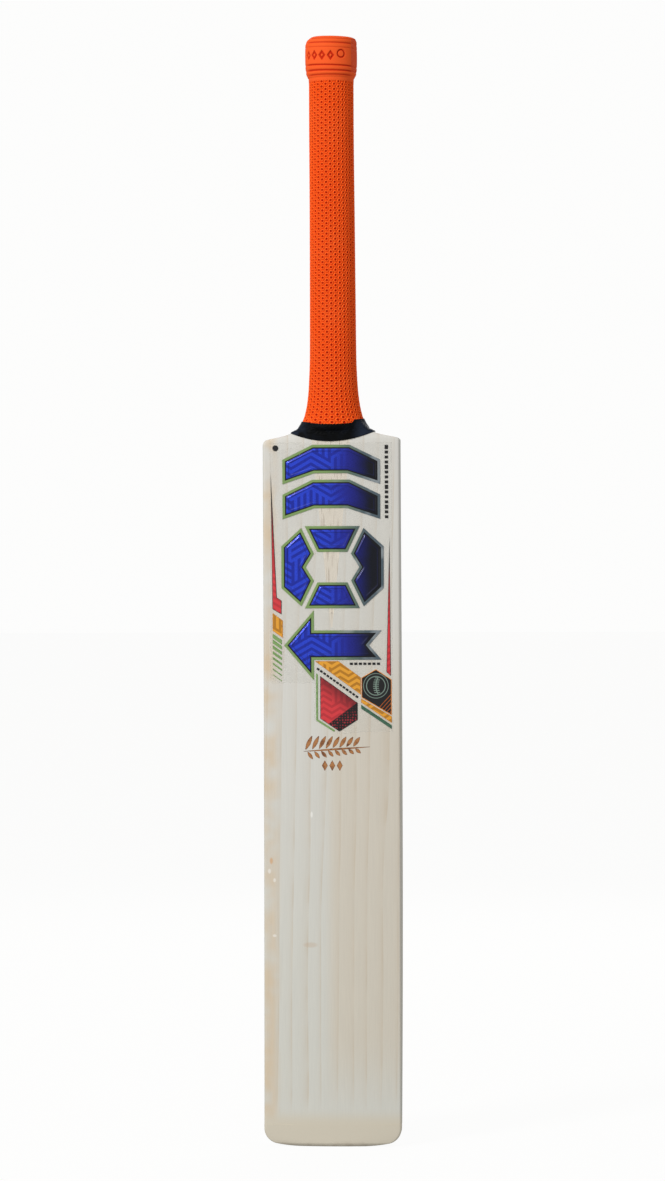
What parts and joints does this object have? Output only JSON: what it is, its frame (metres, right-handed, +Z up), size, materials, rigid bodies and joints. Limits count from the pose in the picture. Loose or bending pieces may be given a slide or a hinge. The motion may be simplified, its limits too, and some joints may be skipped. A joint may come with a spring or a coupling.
{
  "type": "cricket bat",
  "caption": "Cricket bat: willow blade with a spliced cane and rubber handle, dimpled orange rubber grip, taped shoulders, toe guard and embossed face labels.",
  "frame": {"origin": "middle of the flat rest on the underside of the toe", "axes": "+Z up the bat from the toe to the top of the handle; the striking face looks towards -Y; +X to the right of someone looking at the face"},
  "size_m": [0.107, 0.0713, 0.8615],
  "materials": {
    "willow": "pale sanded willow, satin",
    "cane": "bare cane, straight fibres",
    "spring_rubber": "matt black sheet rubber",
    "spring_cork": "fine cork sheet",
    "twine": "waxed thread",
    "grip_rubber": "orange moulded rubber, matt",
    "tape": "black PVC tape",
    "toe_guard": "beige moulded toe cover, matt",
    "film": "clear label film",
    "emblem_blue": "domed printed vinyl, royal blue fading to navy",
    "print_red": "printed vinyl",
    "print_gold": "printed vinyl",
    "print_green": "printed vinyl",
    "print_black": "printed vinyl"
  },
  "bodies": {
    "root": {"badge_hex": "print_black", "band_gold": "print_gold", "bar_dark_green": "print_green", "blade": "willow", "bracket_green": "print_green", "cane_back_centre": "cane", "cane_back_core_centre": "cane", "cane_back_core_left": "cane", "cane_back_core_right": "cane", "cane_back_left": "cane", "cane_back_right": "cane", "cane_front_centre": "cane", "cane_front_core_centre": "cane", "cane_front_core_left": "cane", "cane_front_core_right": "cane", "cane_front_left": "cane", "cane_front_right": "cane", "chevron_gold": "print_gold", "dot_black": "print_black", "emblem_lower": "emblem_blue", "emblem_middle": "emblem_blue", "emblem_upper": "emblem_blue", "face_film": "film", "grip": "grip_rubber", "ladder_green": "print_green", "shield_red": "print_red", "shoulder_tape": "tape", "spring_back": "spring_rubber", "spring_front": "spring_rubber", "spring_middle": "spring_cork", "streak_left": "print_red", "streak_right": "print_red", "tick_marks": "print_black", "toe_guard": "toe_guard", "twine_binding": "twine"}
  },
  "joints": []
}
